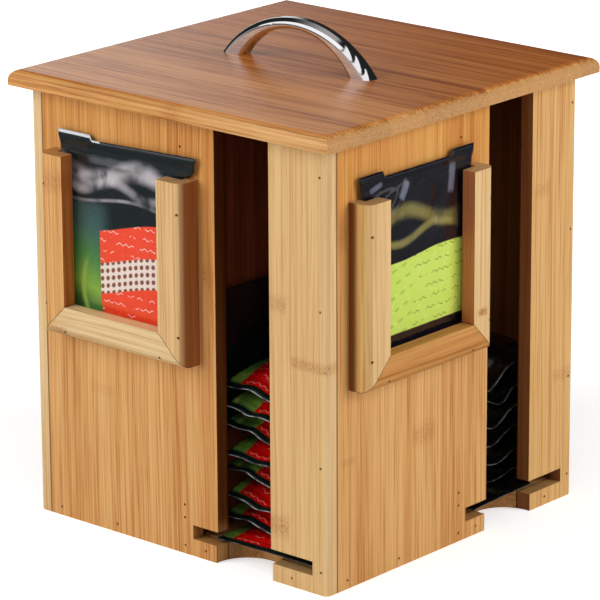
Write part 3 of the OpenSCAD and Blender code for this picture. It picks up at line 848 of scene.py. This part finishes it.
# (side, print, back, slot, change of outline)
READY = (("front", berry_stack, berry_back, "foil_green", None),
         ("right", leaf_stack, leaf_back, "foil_black", tucked))
for side_no, (name, front, behind, slot, edge) in enumerate(READY):
    lo, hi = box_mm("ready_sachet_" + name)
    w, l = (hi.x - lo.x, hi.y - lo.y) if side_no == 0 else (hi.y - lo.y, hi.x - lo.x)
    place = Matrix.Translation((lo + hi) / 2) @ turn(side_no) \
        @ Matrix.Translation(READY_SHIFT) @ tilt(READY_TURN, "Z")
    obj = packet("sachet_ready_" + name, w - READY_ROOM_X, l - READY_ROOM_Y,
                 hi.z - lo.z - READY_ROOM_Z, place, front, behind, READY_SEED + side_no,
                 cut=cut_dull, offset=READY_PRINT, sag=(READY_SAG, READY_SAG), edge=edge)
    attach(obj, "ready_sachet_" + name)
    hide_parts("ready_sachet_" + name)

# Stacks, as (side, print, back, slot, cut edge, the long folds' place and half width, sachets).
# Each sachet, lowest first, has its own shift across, turn, sideways lean, end sag, print shift
# and height of its long fold
STACK_X, STACK_Y, STACK_Z, STACK_PITCH = 45.9, -40.0, 19.6, 10.3
STACK_W, STACK_L, STACK_PUFF = 59.0, 70.0, 9.0
STACK_TIP, SIDE_SAG = 2, 1.6
STACK_SEED, STANDING_SEED = 20.0, 77.0
FOLD_Y, FOLD_DEGREES, FOLD_LENGTH = -34, 84, 45
HEAPS = (
    ("front", berry_stack, berry_back, "foil_green", cut_painted_highlight, -15, 5, (
        (0.5, -1.5, 8.0, 3.0, 9, 1.2), (2.2, 3.5, 10.0, 3.4, 12, -1.6),
        (1.0, 1.0, 11.5, 2.6, 1, 1.5), (2.6, 4.5, 7.5, 3.6, 9, -1.2),
        (0.8, -2.0, 10.5, 3.0, 0, 1.8), (2.8, 5.0, 11.0, 3.8, 4, -1.6),
        (1.8, 2.0, 8.5, 4.4, 10, 1.5))),
    ("right", leaf_stack, leaf_back, "foil_black", cut_dull, -3, 10, (
        (0.0, 2.0, -2.0, 1.0, 0, -2.0), (1.5, -2.5, -4.5, 1.8, 0, -4.0),
        (-0.5, 1.5, -3.0, 1.2, 0, -5.4), (1.0, -1.5, -5.5, 2.0, 0, -6.6),
        (0.4, 3.0, -4.0, 1.5, 0, -7.4), (-0.6, -2.5, -6.0, 2.4, 0, -8.0))),
)
for side_no, (name, front, behind, slot, cut, fold_x, fold_w, sachets) in enumerate(HEAPS):
    for n, (shift, twist, lean, sag, offset, fold_h) in enumerate(sachets):
        middle = (STACK_X + shift * 0.6, STACK_Y, STACK_Z + STACK_PITCH * n)
        place = turn(side_no) @ Matrix.Translation(middle) \
            @ tilt(twist, "Z") @ tilt(lean, "Y") @ tilt(STACK_TIP, "X")
        fold = (fold_x + 3 * math.sin(2.1 * n), FOLD_Y, FOLD_DEGREES, FOLD_LENGTH, fold_w, fold_h)
        obj = packet(f"sachet_stacked_{name}_{n + 1}", STACK_W, STACK_L, STACK_PUFF, place, front,
                     behind, STACK_SEED + 3 * n + 40 * side_no, wrinkle=0.55, nx=56, ny=64,
                     offset=offset, cut=cut, sag=(sag, SIDE_SAG), foil_t=0.45, folds=(fold,))
        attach(obj, "box")
        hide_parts("sachet_stack_" + name)

# The sachet that stands beside the front stack
lo, hi = box_mm("leaning_sachet_front")
place = Matrix.Translation((lo + hi) / 2) @ tilt(90, "Y")
obj = packet("sachet_standing", hi.z - lo.z, hi.y - lo.y, FLAT_PUFF, place, berry_back, berry_back,
             STANDING_SEED, nx=48, ny=56)
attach(obj, "box")
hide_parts("leaning_sachet_front")

# Floor: paper white, lit up for the camera so that only the object's shadow shows
FLOOR_HALF = 6
PAPER_DARK, PAPER_LIGHT = (0.88, 0.88, 0.88, 1), (0.92, 0.92, 0.92, 1)
PAPER_MIRRORED = (0.14, 0.14, 0.14, 1)
GLOW_NEAR, GLOW_MORE = 0.5, 0.5
GLOW_FROM, GLOW_TO = 0.22, 0.7


def stage_material(name):
    s = Shader(name)
    s.tree.nodes.remove(s.bsdf)
    diffuse = s.add("ShaderNodeBsdfDiffuse")
    coord = s.add("ShaderNodeTexCoord")
    path = s.add("ShaderNodeLightPath")
    tooth = s.noise(coord.outputs["Object"], 90, 2, 0.5)
    paper = s.mix(tooth, PAPER_DARK, PAPER_LIGHT)
    s.link(s.mix(path.outputs["Is Glossy Ray"], paper, PAPER_MIRRORED), diffuse.inputs[0])
    glow = s.add("ShaderNodeEmission")
    glow.inputs[0].default_value = (1, 1, 1, 1)
    length = s.add("ShaderNodeVectorMath", operation="LENGTH")
    s.link(coord.outputs["Object"], length.inputs[0])
    far = s.step(length.outputs["Value"], GLOW_FROM, GLOW_TO)
    level = s.plus(GLOW_NEAR, s.times(far, GLOW_MORE))
    s.link(s.times(path.outputs["Is Camera Ray"], level), glow.inputs[1])
    both = s.add("ShaderNodeAddShader")
    s.link(diffuse.outputs[0], both.inputs[0])
    s.link(glow.outputs[0], both.inputs[1])
    s.link(both.outputs[0], s.out.inputs[0])
    return s.mat


floor_mesh = bpy.data.meshes.new("floor")
floor_mesh.from_pydata([(x * FLOOR_HALF, y * FLOOR_HALF, 0)
                        for x, y in ((-1, -1), (1, -1), (1, 1), (-1, 1))], [], [(0, 1, 2, 3)])
floor = bpy.data.objects.new("floor", floor_mesh)
floor_mesh.materials.append(stage_material("studio_floor"))
scene.collection.objects.link(floor)

# World. A direction is (ahead, aside, up), and this one looks at the camera
CAMERA_AHEAD, CAMERA_UP = 0.639, 0.229
AMBIENT = 0.05
MIRROR_DARK = 0.02
# Brightness of each zone that the lid and the bow mirror, and its soft edges
SHEEN, SHEEN_UP, SHEEN_ASIDE, SHEEN_TURN = 0.95, (0.48, 0.42), (0.45, 0.6), (-0.78, -0.99)
SIDE, SIDE_AHEAD = 1.2, (0.3, 0.36)
BANK, BANK_ASIDE, BANK_BOW, BANK_UP = 1.2, (-0.50, -0.58), (-0.43, -0.39), (0.02, 0.08)
DULL, DULL_ASIDE, DULL_UP = 0.45, (-0.30, -0.40), (0.14, 0.08)
GREY, GREY_FROM, GREY_TO, GREY_ASIDE = 0.42, (-0.05, 0.38), (0.52, 0.44), (0.74, 0.66)
CHECKS, CHECKS_BOW, CHECKS_UP, CHECKS_EDGE = 1.1, (0.54, 0.58), (0.02, 0.10), (-0.12, 0.12)
CHECKS_TURNS, CHECKS_SLANT, CHECKS_MIDDLE, CHECKS_ROWS = 46.0, 3.0, 0.22, -1.25


def studio_world():
    """White to the camera, dim as a light, and the room that the lid and the bow mirror."""
    world = bpy.data.worlds.new("studio")
    world.use_nodes = True
    scene.world = world
    s = Nodes(world.node_tree)
    out = s.add("ShaderNodeOutputWorld")
    sky = s.add("ShaderNodeBackground")
    sky.inputs[0].default_value = (1, 1, 1, 1)
    coord = s.add("ShaderNodeTexCoord")
    path = s.add("ShaderNodeLightPath")
    ahead, aside, up = s.split(coord.outputs["Generated"])

    # behind, brightest to the left: the sheen on the lid
    low = s.step(up, *SHEEN_UP)
    horizon = s.times(s.times(low, s.step(aside, *SHEEN_ASIDE)), SHEEN)
    horizon = s.times(horizon, s.step(s.over(ahead, aside), *SHEEN_TURN))
    horizon = s.larger(horizon, s.times(s.times(low, s.step(ahead, *SIDE_AHEAD)), SIDE))

    # in front: white above, duller near the ground. bow is the angle along the bow handle that
    # mirrors a direction to the camera: its left third stays dark and its right foot is chequered
    bow = s.math("ARCTAN2", s.plus(ahead, CAMERA_AHEAD), s.plus(up, CAMERA_UP))
    bank = s.times(s.step(aside, *BANK_ASIDE), s.step(bow, *BANK_BOW))
    bank = s.times(bank, s.times(s.step(up, *BANK_UP), BANK))
    dull = s.times(s.step(aside, *DULL_ASIDE), s.times(s.step(up, *DULL_UP), DULL))
    grey = s.times(s.times(s.step(bow, *GREY_FROM), s.step(bow, *GREY_TO)),
                   s.times(s.step(aside, *GREY_ASIDE), GREY))
    mirrored = s.larger(s.larger(horizon, s.larger(bank, dull)), grey)
    turns = s.sine(s.plus(s.times(bow, CHECKS_TURNS), s.times(aside, CHECKS_SLANT)))
    rows = s.times(s.plus(aside, CHECKS_MIDDLE), CHECKS_ROWS)
    zone = s.times(s.step(bow, *CHECKS_BOW), s.step(up, *CHECKS_UP))
    checks = s.times(s.step(s.plus(turns, rows), *CHECKS_EDGE), s.times(zone, CHECKS))
    mirrored = s.plus(s.times(mirrored, s.minus(1.0, zone)), checks)
    mirrored = s.plus(mirrored, MIRROR_DARK)

    glossy = s.times(path.outputs["Is Glossy Ray"], s.minus(mirrored, AMBIENT))
    seen = s.larger(path.outputs["Is Camera Ray"], path.outputs["Is Transmission Ray"])
    s.link(s.larger(seen, s.plus(AMBIENT, glossy)), sky.inputs[1])
    s.link(sky.outputs[0], out.inputs[0])


studio_world()

# Area lamps, as (name, place, size, power), for the diffuse light alone: what shines in
# reflections is the world's bright part
LAMPS = (
    ("left_box", (-0.66, -1.13, 0.68), (0.9, 1.25), 15.5),
    ("right_box", (1.20, 0.54, 0.60), (0.9, 1.0), 14),
    ("top_box", (0.15, -0.30, 1.35), (0.9, 0.9), 3.5),
    ("fill_box", (0.85, -0.95, 0.85), (0.8, 0.8), 3),
)
LAMP_TARGET = Vector((0, 0, 0.1))
for name, at, (size_x, size_y), power in LAMPS:
    data = bpy.data.lights.new(name, "AREA")
    data.shape = "RECTANGLE"
    data.size, data.size_y = size_x, size_y
    data.energy = power
    data.color = (1, 1, 1)
    lamp = bpy.data.objects.new(name, data)
    lamp.location = at
    lamp.rotation_mode = "QUATERNION"
    lamp.rotation_quaternion = (LAMP_TARGET - Vector(at)).to_track_quat("-Z", "Y")
    lamp.visible_glossy = False
    scene.collection.objects.link(lamp)

scene.view_settings.view_transform = "Standard"
